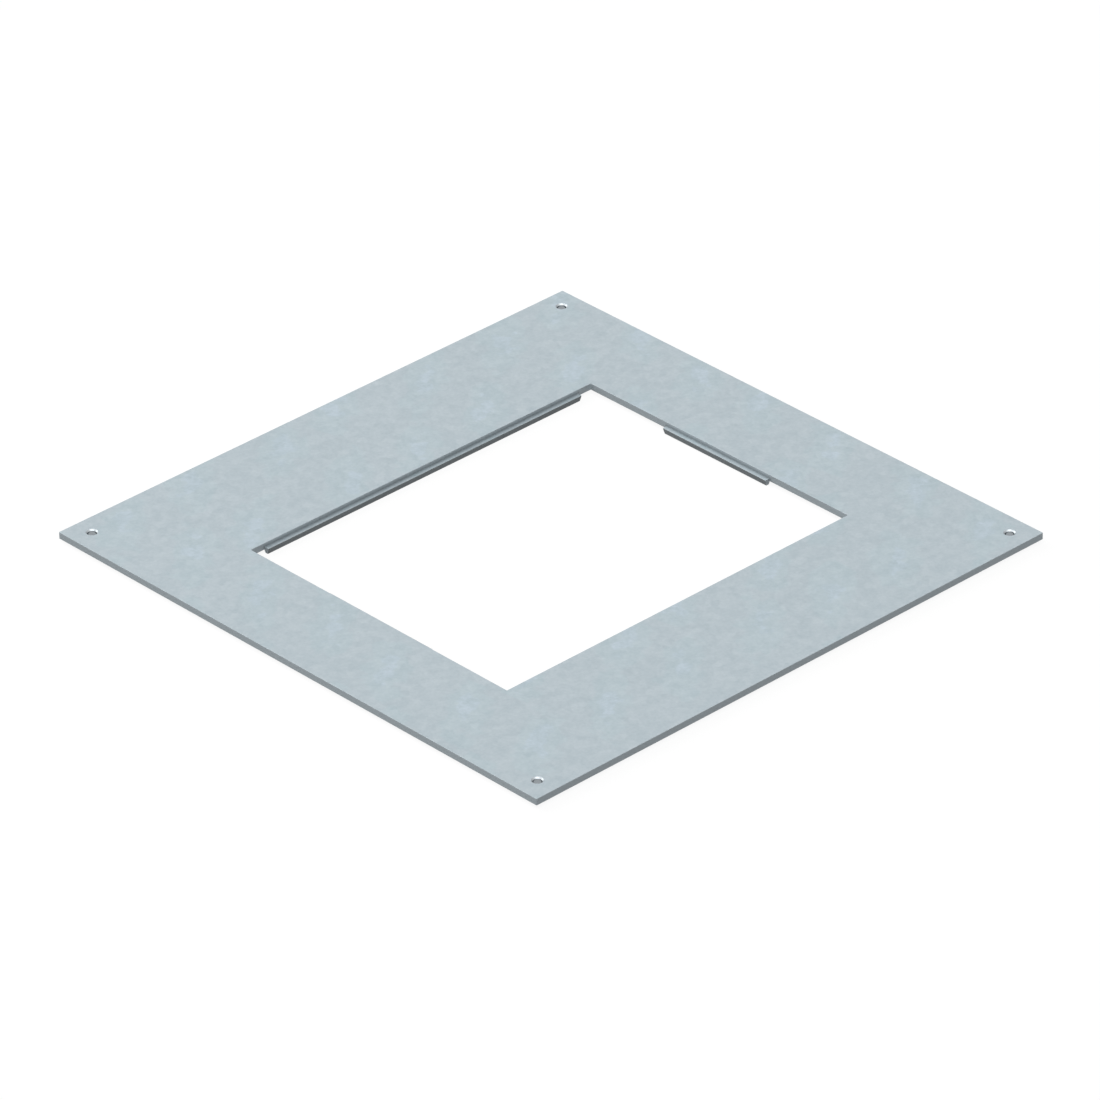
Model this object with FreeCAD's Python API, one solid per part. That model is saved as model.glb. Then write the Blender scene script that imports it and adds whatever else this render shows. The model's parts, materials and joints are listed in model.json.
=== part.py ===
import FreeCAD, Part
import math
import os

# Cover of a floor box: one square sheet of galvanised steel with a rectangular opening for a device insert.
# Four ledges in the opening carry the insert. Each is a lip of the same sheet that a press has pushed down
# by part of the sheet's thickness, so that a thin root still joins it to the plate.
# Millimetres. +Z is up, X runs along the opening's long side, and the origin is under the middle of the
# cover, on the plane of the ledges' feet.

# Cover plate
plate_length = 383.0
plate_width = 383.0
plate_thickness = 4.0
plate_corner_radius = 0.5
top_edge_radius = 0.15

# Opening for the device insert
opening_length = 258.0
opening_width = 205.0
opening_corner_radius = 0.2

# Countersunk corner holes for M5 screws
screw_hole_diameter = 5.3
countersink_diameter = 6.9
countersink_angle = 90.0
screw_inset_x = 13.0
screw_inset_y = 13.0

# Pressed ledges, all four of one section: each lean is the slope of a side in degrees from upright
ledge_reach = 3.0
ledge_root = 1.5
ledge_front_lean = 16.0
ledge_back_lean = 16.0
ledge_end_lean = 7.0
ledge_corner_radius = 0.5
ledge_foot_radius = 0.3
long_ledge_corner_gap = 10.0
short_ledge_length = 82.0

# Extra length of the cutting bodies, so that no cut ends on a face of the plate
cut_overrun = 1.0

# Heights above the ledges' feet
ledge_z = plate_thickness
underside_z = ledge_z - ledge_root
top_z = underside_z + plate_thickness

origin = FreeCAD.Vector(0, 0, 0)
up = FreeCAD.Vector(0, 0, 1)


def rounded_wire(corners):
    """Closed wire through (point, radius) corners, each rounded by an arc tangent to its two sides.

    A radius is limited to what the shorter half of its two sides leaves room for.
    """
    edges = []
    ends = []
    count = len(corners)
    for index, (point, radius) in enumerate(corners):
        to_before = corners[index - 1][0] - point
        to_after = corners[(index + 1) % count][0] - point
        half_angle = to_before.getAngle(to_after) / 2
        room = min(to_before.Length, to_after.Length) / 2
        setback = min(radius / math.tan(half_angle), room)
        to_before.normalize()
        to_after.normalize()
        start = point + to_before * setback
        end = point + to_after * setback
        ends.append((start, end))
        if setback > 0:
            bisector = to_before + to_after
            bisector.normalize()
            arc_radius = setback * math.tan(half_angle)
            middle = point + bisector * (arc_radius / math.sin(half_angle) - arc_radius)
            edges.append(Part.Arc(start, middle, end).toShape())
    for index in range(count):
        edges.append(Part.LineSegment(ends[index - 1][1], ends[index][0]).toShape())
    return Part.Wire(Part.sortEdges(edges)[0])


def rounded_slab(length, width, height, corner_radius, base_z):
    """Upright slab with rounded corners, centred on the Z axis."""
    corners = []
    for sign_x, sign_y in ((-1, -1), (1, -1), (1, 1), (-1, 1)):
        point = FreeCAD.Vector(sign_x * length / 2, sign_y * width / 2, base_z)
        corners.append((point, corner_radius))
    return Part.Face(rounded_wire(corners)).extrude(up * height)


def face_at(shape, height):
    """The flat face of a shape that lies at a height."""
    return min(shape.Faces, key=lambda face: abs(face.CenterOfMass.z - height) + face.BoundBox.ZLength)


def countersunk_cutter():
    """Body of revolution that cuts one screw hole: the shank's bore with its countersink at the top."""
    hole_radius = screw_hole_diameter / 2
    rim_radius = countersink_diameter / 2
    slope = math.tan(math.radians(countersink_angle / 2))
    sink_depth = (rim_radius - hole_radius) / slope
    outline = [
        FreeCAD.Vector(0, 0, underside_z - cut_overrun),
        FreeCAD.Vector(hole_radius, 0, underside_z - cut_overrun),
        FreeCAD.Vector(hole_radius, 0, top_z - sink_depth),
        FreeCAD.Vector(rim_radius + cut_overrun * slope, 0, top_z + cut_overrun),
        FreeCAD.Vector(0, 0, top_z + cut_overrun),
    ]
    face = Part.Face(Part.makePolygon(outline + outline[:1]))
    return face.revolve(origin, up, 360)


def sheet_with_opening():
    """Flat sheet with its opening, and the slight rounding that cutting leaves on its top edges."""
    sheet = rounded_slab(plate_length, plate_width, plate_thickness, plate_corner_radius, underside_z)
    opening_height = plate_thickness + 2 * cut_overrun
    opening_base = underside_z - cut_overrun
    opening = rounded_slab(opening_length, opening_width, opening_height, opening_corner_radius, opening_base)
    sheet = sheet.cut(opening)
    return sheet.makeFillet(top_edge_radius, face_at(sheet, top_z).Edges)


def screw_holes():
    """Cutting bodies of the four corner holes."""
    cutter = countersunk_cutter()
    hole_x = plate_length / 2 - screw_inset_x
    hole_y = plate_width / 2 - screw_inset_y
    holes = []
    for sign_x in (-1, 1):
        for sign_y in (-1, 1):
            hole = cutter.copy()
            hole.translate(FreeCAD.Vector(sign_x * hole_x, sign_y * hole_y, 0))
            holes.append(hole)
    return holes


def sweep(corners, path):
    """Body swept along a straight path from a profile of (point, radius) corners."""
    return Part.Face(rounded_wire(corners)).extrude(path)


def run(height, lean):
    """Sideways run of a face that leans by an angle over a height."""
    return height * math.tan(math.radians(lean))


def pressed_ledge(length):
    """Lip of the sheet's own thickness along Y, hung on a wall at X = 0 and tapering down on all four sides.

    It is what the sweeps of its section, its front view and its plan have in common.
    """
    half = length / 2
    foot_half = half - run(ledge_z, ledge_end_lean)
    foot_reach = ledge_reach - run(ledge_z, ledge_front_lean)
    root_back = -run(underside_z, ledge_back_lean)
    section = [
        (FreeCAD.Vector(0, -half, ledge_z), 0),
        (FreeCAD.Vector(ledge_reach, -half, ledge_z), top_edge_radius),
        (FreeCAD.Vector(foot_reach, -half, 0), ledge_foot_radius),
        (FreeCAD.Vector(0, -half, 0), ledge_foot_radius),
        (FreeCAD.Vector(root_back, -half, underside_z), 0),
        (FreeCAD.Vector(0, -half, underside_z), 0),
    ]
    front_view = [
        (FreeCAD.Vector(root_back, -half, ledge_z), top_edge_radius),
        (FreeCAD.Vector(root_back, -foot_half, 0), ledge_foot_radius),
        (FreeCAD.Vector(root_back, foot_half, 0), ledge_foot_radius),
        (FreeCAD.Vector(root_back, half, ledge_z), top_edge_radius),
    ]
    plan = [
        (FreeCAD.Vector(root_back, -half, 0), 0),
        (FreeCAD.Vector(ledge_reach, -half, 0), ledge_corner_radius),
        (FreeCAD.Vector(ledge_reach, half, 0), ledge_corner_radius),
        (FreeCAD.Vector(root_back, half, 0), 0),
    ]
    ledge = sweep(section, FreeCAD.Vector(0, length, 0))
    ledge = ledge.common(sweep(front_view, FreeCAD.Vector(ledge_reach - root_back, 0, 0)))
    return ledge.common(sweep(plan, up * ledge_z))


def placed_ledge(length, wall_distance, turn):
    """Ledge on the wall that lies wall_distance from the middle, in the direction turn degrees from X."""
    ledge = pressed_ledge(length)
    ledge.rotate(origin, up, 180)
    ledge.translate(FreeCAD.Vector(wall_distance, 0, 0))
    ledge.rotate(origin, up, turn)
    return ledge


def cover_plate():
    """The whole cover: sheet, ledges on the two short and the two long walls, and screw holes."""
    long_ledge_length = opening_length - 2 * long_ledge_corner_gap
    ledges = [
        placed_ledge(short_ledge_length, opening_length / 2, 0),
        placed_ledge(long_ledge_length, opening_width / 2, 90),
        placed_ledge(short_ledge_length, opening_length / 2, 180),
        placed_ledge(long_ledge_length, opening_width / 2, 270),
    ]
    return sheet_with_opening().fuse(ledges).cut(screw_holes()).removeSplitter()


cover = cover_plate()
if not cover.isValid() or len(cover.Solids) != 1:
    raise RuntimeError("the cover is not one valid solid")
os.makedirs("parts", exist_ok=True)
cover.Solids[0].exportStep("parts/cover_plate.step")
print("cover_plate", round(cover.Volume, 1), "mm3,", len(cover.Faces), "faces,", cover.optimalBoundingBox())
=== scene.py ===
import json
import math

import bpy
from bpy.props import FloatProperty, FloatVectorProperty, PointerProperty
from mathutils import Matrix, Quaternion, Vector


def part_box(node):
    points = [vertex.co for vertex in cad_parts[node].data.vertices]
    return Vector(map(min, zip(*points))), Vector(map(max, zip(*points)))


# Floor box cover: one square galvanised steel sheet with a rectangular opening, four pressed ledges and
# four countersunk corner holes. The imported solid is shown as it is. This file gives it its zinc finish and
# sets up the floor, the lamps and the camera. Metres and radians.

bl_info = {
    "name": "Floor box cover",
    "version": (1, 0, 0),
    "blender": (4, 5, 0),
    "location": "View3D > Sidebar > Cover",
    "description": "Gives a galvanised floor box cover its finish and sets up its studio stage",
    "category": "Object",
}

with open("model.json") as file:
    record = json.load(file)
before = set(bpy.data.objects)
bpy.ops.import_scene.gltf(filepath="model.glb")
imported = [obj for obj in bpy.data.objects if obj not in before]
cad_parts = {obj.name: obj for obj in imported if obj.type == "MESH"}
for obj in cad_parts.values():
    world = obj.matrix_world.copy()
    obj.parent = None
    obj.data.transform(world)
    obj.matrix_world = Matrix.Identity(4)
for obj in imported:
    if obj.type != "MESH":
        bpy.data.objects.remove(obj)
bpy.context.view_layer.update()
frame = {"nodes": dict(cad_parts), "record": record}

COVER_NODE = "cover_plate"
MILLIMETRE = 0.001

WHITE = (1.0, 1.0, 1.0, 1.0)
BLACK = (0.0, 0.0, 0.0, 1.0)

# Upward part of the normal at which each kind of face starts, and at which it is reached in full
FLAT_FACES = (0.93, 0.985)
SLOPED_FACES = (0.2, 0.5)
DOWNWARD_FLANKS = (-0.08, -0.22)

# Radius at which a bloom's halo and its core start, and at which they are reached in full
BLOOM_HALO = (1.6, 1.05)
BLOOM_CORE = (0.7, 0.3)

# Crystals: blur of their edges, and how far they drift out of place, in crystal widths
CRYSTAL_BLUR = 0.45
CRYSTAL_DRIFT = 0.8

# Blooms: how unevenly they lie, how far their edges stray, and how wide a stray is, in crystal widths
BLOOM_SCATTER = 0.35
BLOOM_RAGGEDNESS = 2.6
BLOOM_STRAY_WIDTH = 2.0

# Shear marks: scale of the height that stretches them, and share of its colour that a dark one keeps
SHEAR_HEIGHT_SCALE = 0.08
SHEAR_SHADE = 0.88

# Where a screw hole's finish ends, as a multiple of the radius that it covers in full
HOLE_RIM_BLEND = 1.06


def screen_colour(red, green, blue):
    """Linear colour of an 8-bit screen colour, by the sRGB curve."""
    linear = []
    for level in (red / 255, green / 255, blue / 255):
        linear.append(level / 12.92 if level <= 0.04045 else ((level + 0.055) / 1.055) ** 2.4)
    return tuple(linear)


def opaque(colour):
    """Colour with a full alpha value, as the colour sockets take it."""
    return (*colour, 1.0)


def mount(name):
    """One of the record's mounts, with its position in metres and its measured sizes in millimetres."""
    for entry in frame["record"]["mounts"]:
        if entry["name"] == name:
            return entry
    raise RuntimeError(f"the record has no mount named {name}")


SCREW_PATTERN = mount("corner_screws")["dims"]
LEDGE_HEIGHT = mount("insert_ledge")["pos_m"][2]


def length_property(name, description, default):
    """A length that the sidebar shows in the scene's unit."""
    return FloatProperty(
        name=name, description=description, default=default, min=0.0, unit="LENGTH", precision=5
    )


def share_property(name, description, default):
    """A share from 0 to 1."""
    return FloatProperty(
        name=name, description=description, default=default, min=0.0, max=1.0, subtype="FACTOR"
    )


def level_property(name, description, default):
    """A level of light, at which 1 shows a white matt surface as white."""
    return FloatProperty(name=name, description=description, default=default, min=0.0)


def angle_property(name, description, degrees):
    """An angle, given here in degrees."""
    return FloatProperty(name=name, description=description, default=math.radians(degrees), subtype="ANGLE")


def colour_property(name, description, default):
    """A linear colour."""
    return FloatVectorProperty(
        name=name, description=description, default=default, size=3, min=0.0, max=1.0, subtype="COLOR"
    )


class ZincFinish(bpy.types.PropertyGroup):
    """Colours, pattern and gloss of the cover's galvanised finish, and its painted shade at the ledges"""

    dull_zinc: colour_property("Dull zinc", "Darkest grains of the zinc", screen_colour(173, 187, 194))
    bright_zinc: colour_property("Bright zinc", "Lightest grains of the zinc", screen_colour(195, 206, 212))
    halo_zinc: colour_property("Halo zinc", "Green-blue halo of the blooms", screen_colour(180, 200, 206))
    bloom_zinc: colour_property("Bloom zinc", "Pale blue core of the blooms", screen_colour(192, 205, 218))
    cut_edge: colour_property("Cut edge", "Sheared edges of the sheet", screen_colour(190, 201, 207))
    # Painted shade: the ledges' flanks face down, away from the lamps, so they get this darker colour
    shaded_flank: colour_property("Pressed flank", "Flanks of the ledges", screen_colour(129, 137, 141))
    sink_metal: colour_property("Countersink metal", "Machined countersinks", screen_colour(176, 182, 186))
    bore_metal: colour_property("Bore metal", "Machined bores of the holes", screen_colour(157, 163, 167))

    spangle_size: length_property("Spangle size", "Width of a zinc crystal", 5.0 * MILLIMETRE)
    cloud_size: length_property("Cloud size", "Width of a cloudy patch", 6.0 * MILLIMETRE)
    grain_size: length_property("Grain size", "Width of the coating's fine grain", 1.8 * MILLIMETRE)
    crystal_contrast: share_property("Crystal contrast", "How much the crystals change the tone", 0.35)
    cloud_contrast: share_property("Cloud contrast", "How much the clouds change the tone", 0.8)
    grain_contrast: share_property("Grain contrast", "How much the fine grain changes the tone", 0.7)

    bloom_spacing: length_property("Bloom spacing", "Distance between the blooms", 56.0 * MILLIMETRE)
    bloom_length: length_property("Bloom length", "Half length of a bloom", 25.0 * MILLIMETRE)
    bloom_width: length_property("Bloom width", "Half width of a bloom", 9.0 * MILLIMETRE)
    bloom_slant: angle_property("Bloom slant", "Turn of the blooms from the X axis", 42.0)
    halo_strength: share_property("Halo strength", "How much of its colour a halo shows", 0.3)
    core_strength: share_property("Core strength", "How much of its colour a bright core shows", 0.7)

    opening_length: length_property("Opening length", "Length of the opening, along X", 258.0 * MILLIMETRE)
    opening_width: length_property("Opening width", "Width of the opening, along Y", 205.0 * MILLIMETRE)
    long_ledge: length_property("Long ledge", "Length of the long ledges", 238.0 * MILLIMETRE)
    short_ledge: length_property("Short ledge", "Length of the short ledges", 82.0 * MILLIMETRE)
    ledge_height: length_property("Ledge height", "Height of the ledges' tops", LEDGE_HEIGHT)
    # Painted shade over the ledges: how far it reaches, how high its line sits over the ledge, and how dark
    # its middle is
    shade_reach: length_property("Crease reach", "How far a ledge's dull crease reaches", 1.9 * MILLIMETRE)
    shade_rise: length_property("Crease rise", "Height of a crease over its ledge", 0.3 * MILLIMETRE)
    shade_depth: share_property("Crease depth", "How much darker the middle of a crease is", 0.36)

    hole_spacing_x: length_property(
        "Hole spacing X", "Spacing of the screw holes along X", SCREW_PATTERN["spacing_x_mm"] * MILLIMETRE
    )
    hole_spacing_y: length_property(
        "Hole spacing Y", "Spacing of the screw holes along Y", SCREW_PATTERN["spacing_y_mm"] * MILLIMETRE
    )
    hole_reach: length_property("Hole reach", "Radius of a screw hole's finish", 3.5 * MILLIMETRE)

    dull_roughness: share_property("Dull roughness", "Roughness of the darkest grains", 0.52)
    bright_roughness: share_property("Bright roughness", "Roughness of the lightest grains", 0.4)
    edge_roughness: share_property("Edge roughness", "Roughness of the cut edges and ledge flanks", 0.55)
    sink_roughness: share_property("Countersink roughness", "Roughness of the countersinks", 0.42)
    bore_roughness: share_property("Bore roughness", "Roughness of the holes' bores", 0.2)
    sheet_metallic: share_property("Sheet metallic", "How metallic the flat faces are", 0.2)
    edge_metallic: share_property("Edge metallic", "How metallic the edges and ledge flanks are", 0.1)
    hole_metallic: share_property("Hole metallic", "How metallic the screw holes are", 1.0)
    flat_angle_shine: colour_property(
        "Flat angle shine", "Tint of the screw holes' shine at a flat angle", (0.3, 0.3, 0.3)
    )
    shear_size: length_property("Shear mark size", "Width of the edges' shear marks", 0.5 * MILLIMETRE)
    relief_depth: length_property("Relief depth", "Height of the grain and marks", 0.05 * MILLIMETRE)
    relief_strength: share_property("Relief strength", "How strongly that relief shows", 0.15)


class StudioStage(bpy.types.PropertyGroup):
    """Floor, lamps and camera"""

    floor_size: length_property("Floor size", "Side of the square floor", 40.0)
    floor_bounce: colour_property("Floor bounce", "Floor colour that lights the cover", (0.12, 0.12, 0.12))
    floor_glow: share_property("Floor glow", "Share of its own white that the floor shows", 0.88)
    floor_white: level_property("Floor white", "Level of the floor's own white", 1.03)
    ambient: share_property("Ambient light", "Level of the light from all round", 0.1)

    lamp_distance: length_property("Lamp distance", "Distance of the lamps from the cover", 30.0)
    key_level: level_property("Key level", "Level of the main lamp", 0.53)
    key_azimuth: angle_property("Key azimuth", "Turn of the main lamp, from the front to the right", -41.0)
    key_elevation: angle_property("Key elevation", "Height angle of the main lamp", 60.0)
    key_size: length_property("Key size", "Diameter of the main lamp", 38.0)
    back_level: level_property("Back level", "Level of the lamp behind", 0.54)
    back_azimuth: angle_property("Back azimuth", "Turn of the lamp behind", -166.0)
    back_elevation: angle_property("Back elevation", "Height angle of the lamp behind", 34.0)
    back_size: length_property("Back size", "Diameter of the lamp behind", 36.0)

    camera_azimuth: angle_property("Camera azimuth", "Turn of the camera, as for the lamps", -42.977)
    camera_elevation: angle_property("Camera elevation", "Height angle of the camera", 31.107)
    camera_roll: angle_property("Camera roll", "Clockwise lean of the camera", 1.008)
    camera_distance: length_property("Camera distance", "Distance from the camera to its aim", 4.7114)
    camera_aim: length_property("Camera aim", "How far before the cover's middle the camera aims", 0.0186)
    camera_shift: FloatVectorProperty(
        name="Camera shift",
        description="Shift of the lens, in picture widths",
        default=(-0.00037, -0.00014),
        size=2,
    )
    lens: FloatProperty(
        name="Lens", description="Focal length in millimetres", default=281.33, min=1.0, unit="CAMERA"
    )


class CoverSettings(bpy.types.PropertyGroup):
    """All settings of the cover"""

    finish: PointerProperty(type=ZincFinish)
    stage: PointerProperty(type=StudioStage)


class NodeGraph:
    """Adds nodes to one node tree and joins them, so that a material reads as a list of steps."""

    def __init__(self, tree):
        self.tree = tree
        tree.nodes.clear()

    def feed(self, socket, value):
        """Join a socket to another one, or set its value."""
        if isinstance(value, bpy.types.NodeSocket):
            self.tree.links.new(value, socket)
        else:
            socket.default_value = value

    def add(self, kind, inputs=None, **settings):
        """New node of a kind, with its settings and its named inputs."""
        node = self.tree.nodes.new(kind)
        for name, value in settings.items():
            setattr(node, name, value)
        for name, value in (inputs or {}).items():
            self.feed(node.inputs[name], value)
        return node

    def math(self, operation, *values, clamp=False):
        """Result of a sum on numbers."""
        node = self.add("ShaderNodeMath", operation=operation, use_clamp=clamp)
        for socket, value in zip(node.inputs, values):
            self.feed(socket, value)
        return node.outputs["Value"]

    def vector(self, operation, *values, output="Vector"):
        """Result of a sum on vectors."""
        node = self.add("ShaderNodeVectorMath", operation=operation)
        for socket, value in zip(node.inputs, values):
            self.feed(socket, value)
        return node.outputs[output]

    def smooth_step(self, value, start, end):
        """0 before start, 1 past end and an S curve between, also where end is below start."""
        falls = start > end
        limits = {"Value": value, "From Min": min(start, end), "From Max": max(start, end)}
        limits.update({"To Min": float(falls), "To Max": float(not falls)})
        node = self.add("ShaderNodeMapRange", limits, interpolation_type="SMOOTHSTEP")
        return node.outputs["Result"]

    def noise(self, position, size, detail=2.0, roughness=0.5, output="Fac"):
        """Cloud noise whose features are about size wide."""
        inputs = {"Vector": position, "Scale": 1.0 / size, "Detail": detail, "Roughness": roughness}
        return self.add("ShaderNodeTexNoise", inputs).outputs[output]

    def blend(self, share, first, second):
        """Number that goes from first to second as share goes from 0 to 1."""
        node = self.add("ShaderNodeMix", data_type="FLOAT")
        for socket, value in zip((node.inputs[0], node.inputs[2], node.inputs[3]), (share, first, second)):
            self.feed(socket, value)
        return node.outputs[0]

    def blend_colour(self, share, first, second):
        """Colour that goes from first to second as share goes from 0 to 1."""
        node = self.add("ShaderNodeMix", data_type="RGBA")
        for socket, value in zip((node.inputs[0], node.inputs[6], node.inputs[7]), (share, first, second)):
            self.feed(socket, value)
        return node.outputs[2]


def centred(graph, value, amount):
    """Noise value moved to swing about 0 by amount."""
    return graph.math("MULTIPLY", graph.math("SUBTRACT", value, 0.5), amount)


def zinc_tone(graph, position, finish):
    """Tone of the coating, about 0.5: soft-edged crystals, clouds and fine grain."""
    drift = graph.noise(position, finish.spangle_size, detail=1.0, output="Color")
    drift = graph.vector("SUBTRACT", drift, (0.5, 0.5, 0.5))
    drift_reach = finish.spangle_size * CRYSTAL_DRIFT
    drift = graph.vector("MULTIPLY", drift, (drift_reach, drift_reach, drift_reach))
    warped = graph.vector("ADD", position, drift)
    crystals = graph.add(
        "ShaderNodeTexVoronoi",
        {"Vector": warped, "Scale": 1.0 / finish.spangle_size, "Smoothness": CRYSTAL_BLUR},
        feature="SMOOTH_F1",
    )
    crystal = graph.add("ShaderNodeSeparateColor", {"Color": crystals.outputs["Color"]}).outputs["Red"]
    cloud = graph.noise(position, finish.cloud_size, detail=3.0, roughness=0.55)
    grain = graph.noise(position, finish.grain_size, detail=1.0)
    tone = graph.math("ADD", 0.5, centred(graph, crystal, finish.crystal_contrast))
    tone = graph.math("ADD", tone, centred(graph, cloud, finish.cloud_contrast))
    return graph.math("ADD", tone, centred(graph, grain, finish.grain_contrast), clamp=True)


def bloom_radius(graph, position, finish):
    """Ragged distance from the middle of the nearest bloom: 1 on the ellipse that outlines it."""
    cells = graph.add(
        "ShaderNodeTexVoronoi",
        {"Vector": position, "Scale": 1.0 / finish.bloom_spacing, "Randomness": BLOOM_SCATTER},
        voronoi_dimensions="2D",
    )
    offset = graph.vector("SUBTRACT", position, cells.outputs["Position"])
    offset = graph.vector("MULTIPLY", offset, (1.0, 1.0, 0.0))
    ellipse = graph.add(
        "ShaderNodeMapping",
        {
            "Vector": offset,
            "Rotation": (0.0, 0.0, finish.bloom_slant),
            "Scale": (finish.bloom_length, finish.bloom_width, 1.0),
        },
        vector_type="TEXTURE",
    )
    radius = graph.vector("LENGTH", ellipse.outputs["Vector"], output="Value")
    stray = graph.noise(position, finish.spangle_size * BLOOM_STRAY_WIDTH, detail=3.0)
    return graph.math("ADD", radius, centred(graph, stray, BLOOM_RAGGEDNESS))


def tinted(graph, colour, share, patch, ground):
    """Colour moved by a share of the step from ground to patch, so that its own grain stays."""
    step = [to - start for to, start in zip(patch, ground)]
    return graph.vector("MULTIPLY_ADD", step, share, colour)


def zinc_colour(graph, position, tone, finish):
    """Colour of the coated faces: the greys of the tone, under blooms with a halo and a streaky core."""
    grey = graph.blend_colour(tone, opaque(finish.dull_zinc), opaque(finish.bright_zinc))
    middle = [(dull + bright) / 2 for dull, bright in zip(finish.dull_zinc, finish.bright_zinc)]
    radius = bloom_radius(graph, position, finish)
    halo = graph.math("MULTIPLY", graph.smooth_step(radius, *BLOOM_HALO), finish.halo_strength)
    streaks = graph.math("MULTIPLY", tone, finish.core_strength)
    core = graph.math("MULTIPLY", graph.smooth_step(radius, *BLOOM_CORE), streaks)
    colour = tinted(graph, grey, halo, finish.halo_zinc, middle)
    return tinted(graph, colour, core, finish.bloom_zinc, middle)


def shade_distance(graph, mirrored, line_end, lowest):
    """Distance from the line where a ledge meets its wall, in the quarter that the cover is folded into, for
    the painted shade over the ledges.

    line_end is the line's outer end. lowest is 0 along the line, so that a point beside it is measured
    straight across, and well below 0 along the other two axes.
    """
    offset = graph.vector("SUBTRACT", mirrored, line_end)
    return graph.vector("LENGTH", graph.vector("MAXIMUM", offset, lowest), output="Value")


def shade_share(graph, position, finish):
    """Painted shade in the corners just over the four ledges, darkest along the line where a ledge meets its
    wall.
    """
    mirrored = graph.vector("ABSOLUTE", position)
    height = finish.ledge_height + finish.shade_rise
    long_end = (finish.long_ledge / 2, finish.opening_width / 2, height)
    short_end = (finish.opening_length / 2, finish.short_ledge / 2, height)
    to_long = shade_distance(graph, mirrored, long_end, (0.0, -1.0, -1.0))
    to_short = shade_distance(graph, mirrored, short_end, (-1.0, 0.0, -1.0))
    nearest = graph.math("MINIMUM", to_long, to_short)
    shade = graph.smooth_step(nearest, finish.shade_reach, 0.0)
    return graph.math("MULTIPLY", shade, finish.shade_depth)


def finish_shares(graph, position, normal, finish):
    """Where each finish lies: flat sheet faces, flanks that look down and get painted shade, screw holes,
    and upward slopes.
    """
    upward = graph.add("ShaderNodeSeparateXYZ", {"Vector": normal}).outputs["Z"]
    flat = graph.smooth_step(graph.math("ABSOLUTE", upward), *FLAT_FACES)
    flank = graph.smooth_step(upward, *DOWNWARD_FLANKS)
    slope = graph.smooth_step(upward, *SLOPED_FACES)
    hole_centre = (finish.hole_spacing_x / 2, finish.hole_spacing_y / 2, 0.0)
    from_hole = graph.vector("SUBTRACT", graph.vector("ABSOLUTE", position), hole_centre)
    from_hole = graph.vector("MULTIPLY", from_hole, (1.0, 1.0, 0.0))
    distance = graph.vector("LENGTH", from_hole, output="Value")
    near_hole = graph.smooth_step(distance, finish.hole_reach * HOLE_RIM_BLEND, finish.hole_reach)
    hole = graph.math("MULTIPLY", near_hole, graph.math("SUBTRACT", 1.0, flat))
    return flat, flank, hole, slope


def galvanised_steel(finish):
    """Galvanised sheet: mottled zinc on the flat faces, sheared edges, machined holes, and painted shade on
    the ledges' downward flanks and in the corners over the ledges.
    """
    material = bpy.data.materials.new("galvanised_steel")
    material.use_nodes = True
    graph = NodeGraph(material.node_tree)
    place = graph.add("ShaderNodeTexCoord")
    position = place.outputs["Object"]
    flat, flank, hole, slope = finish_shares(graph, position, place.outputs["Normal"], finish)
    tone = zinc_tone(graph, position, finish)
    sheet = zinc_colour(graph, position, tone, finish)

    upright = graph.add("ShaderNodeMapping", {"Vector": position, "Scale": (1.0, 1.0, SHEAR_HEIGHT_SCALE)})
    shear = graph.noise(upright.outputs["Vector"], finish.shear_size, detail=2.0)
    edge_dark = [SHEAR_SHADE * channel for channel in finish.cut_edge]
    edge = graph.blend_colour(shear, opaque(edge_dark), opaque(finish.cut_edge))
    # Painted shade on the flanks that look down
    edge = graph.blend_colour(flank, edge, opaque(finish.shaded_flank))

    colour = graph.blend_colour(flat, edge, sheet)
    # Painted shade: the corners just over the ledges are darkened towards black
    colour = graph.blend_colour(shade_share(graph, position, finish), colour, BLACK)
    hole_colour = graph.blend_colour(slope, opaque(finish.bore_metal), opaque(finish.sink_metal))
    colour = graph.blend_colour(hole, colour, hole_colour)
    sheet_roughness = graph.blend(tone, finish.dull_roughness, finish.bright_roughness)
    roughness = graph.blend(flat, finish.edge_roughness, sheet_roughness)
    hole_roughness = graph.blend(slope, finish.bore_roughness, finish.sink_roughness)
    roughness = graph.blend(hole, roughness, hole_roughness)
    metallic = graph.blend(flat, finish.edge_metallic, finish.sheet_metallic)
    metallic = graph.blend(hole, metallic, finish.hole_metallic)
    flat_angle_shine = graph.blend_colour(hole, WHITE, opaque(finish.flat_angle_shine))
    edge_relief = graph.math("MULTIPLY", shear, graph.math("SUBTRACT", 1.0, flat))
    relief = graph.math("ADD", tone, edge_relief)
    bump = graph.add(
        "ShaderNodeBump",
        {"Height": relief, "Strength": finish.relief_strength, "Distance": finish.relief_depth},
    )
    shader = graph.add(
        "ShaderNodeBsdfPrincipled",
        {
            "Base Color": colour,
            "Roughness": roughness,
            "Metallic": metallic,
            "Specular Tint": flat_angle_shine,
            "Normal": bump.outputs["Normal"],
        },
    )
    graph.add("ShaderNodeOutputMaterial", {"Surface": shader.outputs["BSDF"]})
    return material


def background_rays(graph):
    """1 for a ray that shows the background, straight or reflected, and 0 for one that only lights."""
    path = graph.add("ShaderNodeLightPath")
    seen = graph.math("MAXIMUM", path.outputs["Is Camera Ray"], path.outputs["Is Glossy Ray"])
    return graph.math("MAXIMUM", seen, path.outputs["Is Transmission Ray"])


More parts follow.
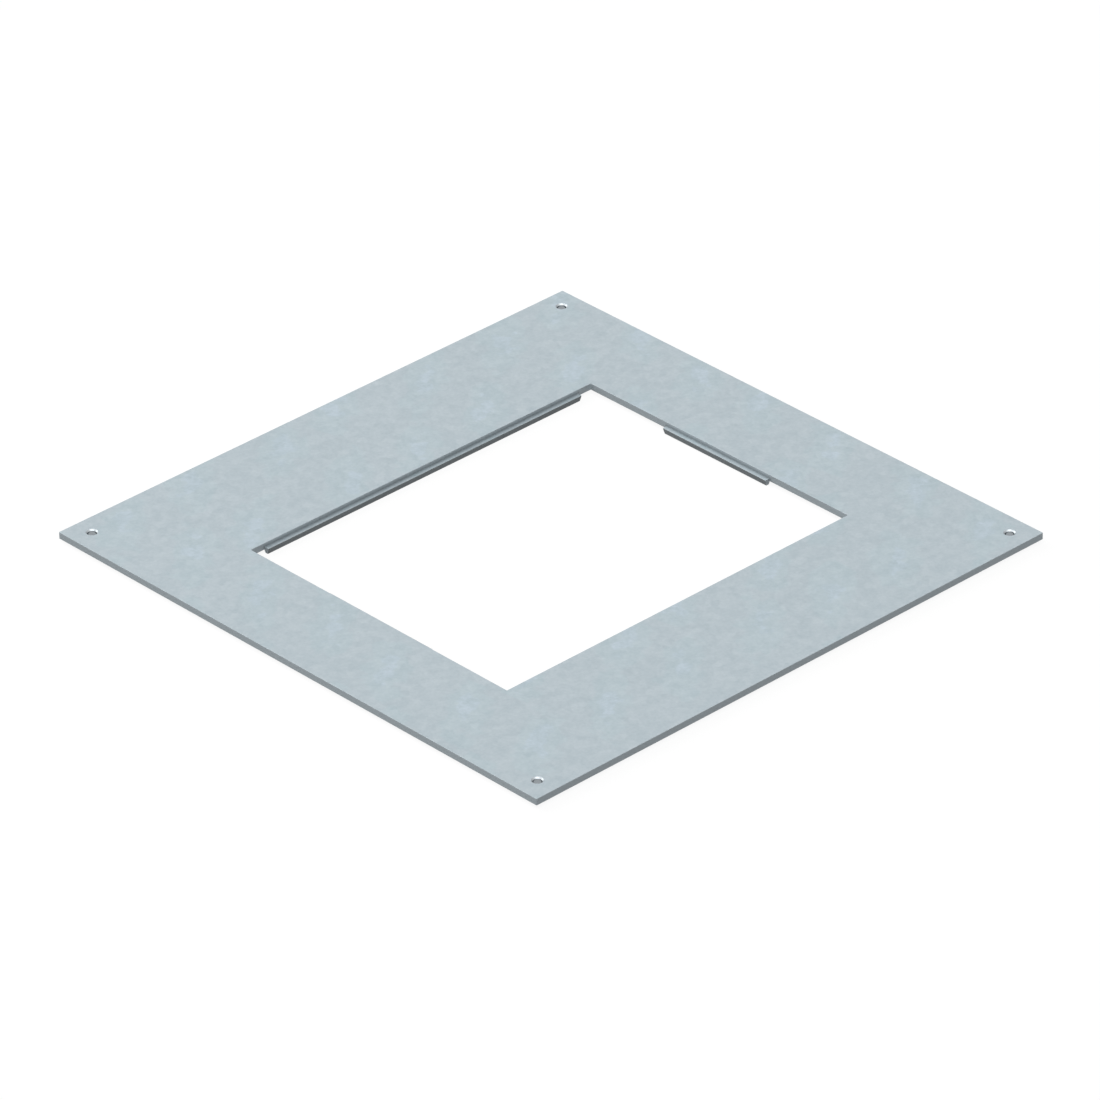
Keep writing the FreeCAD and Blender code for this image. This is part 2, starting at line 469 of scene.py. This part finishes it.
def white_floor(stage):
    """Pale floor that shows as white, keeps a soft shadow, and throws little light back up."""
    material = bpy.data.materials.new("pale_floor")
    material.use_nodes = True
    graph = NodeGraph(material.node_tree)
    seen = background_rays(graph)
    colour = graph.blend_colour(seen, opaque(stage.floor_bounce), WHITE)
    matt = graph.add("ShaderNodeBsdfDiffuse", {"Color": colour})
    glow = graph.add("ShaderNodeEmission", {"Color": WHITE, "Strength": stage.floor_white})
    share = graph.math("MULTIPLY", seen, stage.floor_glow)
    surface = graph.add("ShaderNodeMixShader", {"Fac": share})
    graph.feed(surface.inputs[1], matt.outputs["BSDF"])
    graph.feed(surface.inputs[2], glow.outputs["Emission"])
    graph.add("ShaderNodeOutputMaterial", {"Surface": surface.outputs["Shader"]})
    return material


def add_floor(stage):
    """Square floor under the cover's feet."""
    half = stage.floor_size / 2
    mesh = bpy.data.meshes.new("floor")
    corners = [(-half, -half, 0.0), (half, -half, 0.0), (half, half, 0.0), (-half, half, 0.0)]
    mesh.from_pydata(corners, [], [(0, 1, 2, 3)])
    mesh.materials.append(white_floor(stage))
    floor = bpy.data.objects.new("floor", mesh)
    bpy.context.scene.collection.objects.link(floor)


def direction(azimuth, elevation):
    """Unit vector from the cover: azimuth 0 is in front, along -Y, and turns to the right, towards +X."""
    level = math.cos(elevation)
    return Vector((math.sin(azimuth) * level, -math.cos(azimuth) * level, math.sin(elevation)))


def add_lamp(name, towards, distance, size, level):
    """Round soft lamp that faces the cover.

    A white matt surface that faces it shows level: a disc of power P and radius R at a distance D gives it
    P / (pi^2 * (D^2 + R^2)).
    """
    light = bpy.data.lights.new(name, "AREA")
    light.shape = "DISK"
    light.size = size
    light.energy = level * math.pi**2 * (distance**2 + (size / 2) ** 2)
    lamp = bpy.data.objects.new(name, light)
    lamp.location = towards * distance
    lamp.rotation_mode = "QUATERNION"
    lamp.rotation_quaternion = (-towards).to_track_quat("-Z", "Y")
    lamp.visible_camera = False
    bpy.context.scene.collection.objects.link(lamp)


def set_world(stage):
    """White background with a lower level of light from all round."""
    world = bpy.data.worlds.new("studio")
    world.use_nodes = True
    graph = NodeGraph(world.node_tree)
    seen = background_rays(graph)
    light = graph.add("ShaderNodeBackground", {"Color": WHITE, "Strength": stage.ambient})
    white = graph.add("ShaderNodeBackground", {"Color": WHITE, "Strength": 1.0})
    surface = graph.add("ShaderNodeMixShader", {"Fac": seen})
    graph.feed(surface.inputs[1], light.outputs["Background"])
    graph.feed(surface.inputs[2], white.outputs["Background"])
    graph.add("ShaderNodeOutputWorld", {"Surface": surface.outputs["Shader"]})
    bpy.context.scene.world = world


def add_camera(stage, top):
    """Camera that looks down on the cover from its near corner through a long lens."""
    towards = direction(stage.camera_azimuth, stage.camera_elevation)
    aim = direction(stage.camera_azimuth, 0.0) * stage.camera_aim + Vector((0.0, 0.0, top))
    data = bpy.data.cameras.new("camera")
    data.lens = stage.lens
    data.shift_x, data.shift_y = stage.camera_shift
    camera = bpy.data.objects.new("camera", data)
    camera.location = aim + towards * stage.camera_distance
    camera.rotation_mode = "QUATERNION"
    upright = (-towards).to_track_quat("-Z", "Y")
    camera.rotation_quaternion = upright @ Quaternion((0.0, 0.0, 1.0), -stage.camera_roll)
    bpy.context.scene.collection.objects.link(camera)
    bpy.context.scene.camera = camera


class COVER_OT_finish_plate(bpy.types.Operator):
    """Give the cover plate its galvanised finish"""

    bl_idname = "cover.finish_plate"
    bl_label = "Finish cover plate"

    def execute(self, context):
        plate = frame["nodes"][COVER_NODE]
        material = galvanised_steel(context.scene.cover_settings.finish)
        for slot in plate.material_slots:
            slot.material = material
        return {"FINISHED"}


class COVER_OT_set_stage(bpy.types.Operator):
    """Set up the floor, the lamps, the background and the camera"""

    bl_idname = "cover.set_stage"
    bl_label = "Set stage"

    def execute(self, context):
        stage = context.scene.cover_settings.stage
        add_floor(stage)
        key = direction(stage.key_azimuth, stage.key_elevation)
        add_lamp("key_lamp", key, stage.lamp_distance, stage.key_size, stage.key_level)
        back = direction(stage.back_azimuth, stage.back_elevation)
        add_lamp("back_lamp", back, stage.lamp_distance, stage.back_size, stage.back_level)
        set_world(stage)
        add_camera(stage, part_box(COVER_NODE)[1].z)
        context.scene.view_settings.view_transform = "Standard"
        return {"FINISHED"}


class COVER_PT_sidebar(bpy.types.Panel):
    """Steps and settings of the floor box cover"""

    bl_idname = "COVER_PT_sidebar"
    bl_label = "Floor box cover"
    bl_space_type = "VIEW_3D"
    bl_region_type = "UI"
    bl_category = "Cover"

    def draw(self, context):
        settings = context.scene.cover_settings
        steps = ((COVER_OT_finish_plate, settings.finish), (COVER_OT_set_stage, settings.stage))
        for step, group in steps:
            box = self.layout.box()
            box.operator(step.bl_idname)
            for name in group.bl_rna.properties.keys():
                if name not in ("rna_type", "name"):
                    box.prop(group, name)


CLASSES = (
    ZincFinish,
    StudioStage,
    CoverSettings,
    COVER_OT_finish_plate,
    COVER_OT_set_stage,
    COVER_PT_sidebar,
)


def register():
    """Add the classes to Blender, and the settings to its scenes."""
    for cls in CLASSES:
        bpy.utils.register_class(cls)
    bpy.types.Scene.cover_settings = PointerProperty(type=CoverSettings)


def unregister():
    """Take the settings and the classes out again."""
    del bpy.types.Scene.cover_settings
    for cls in reversed(CLASSES):
        bpy.utils.unregister_class(cls)


def main():
    """Register the add-on and run its steps."""
    register()
    bpy.ops.cover.finish_plate()
    bpy.ops.cover.set_stage()


if __name__ == "__main__":
    main()
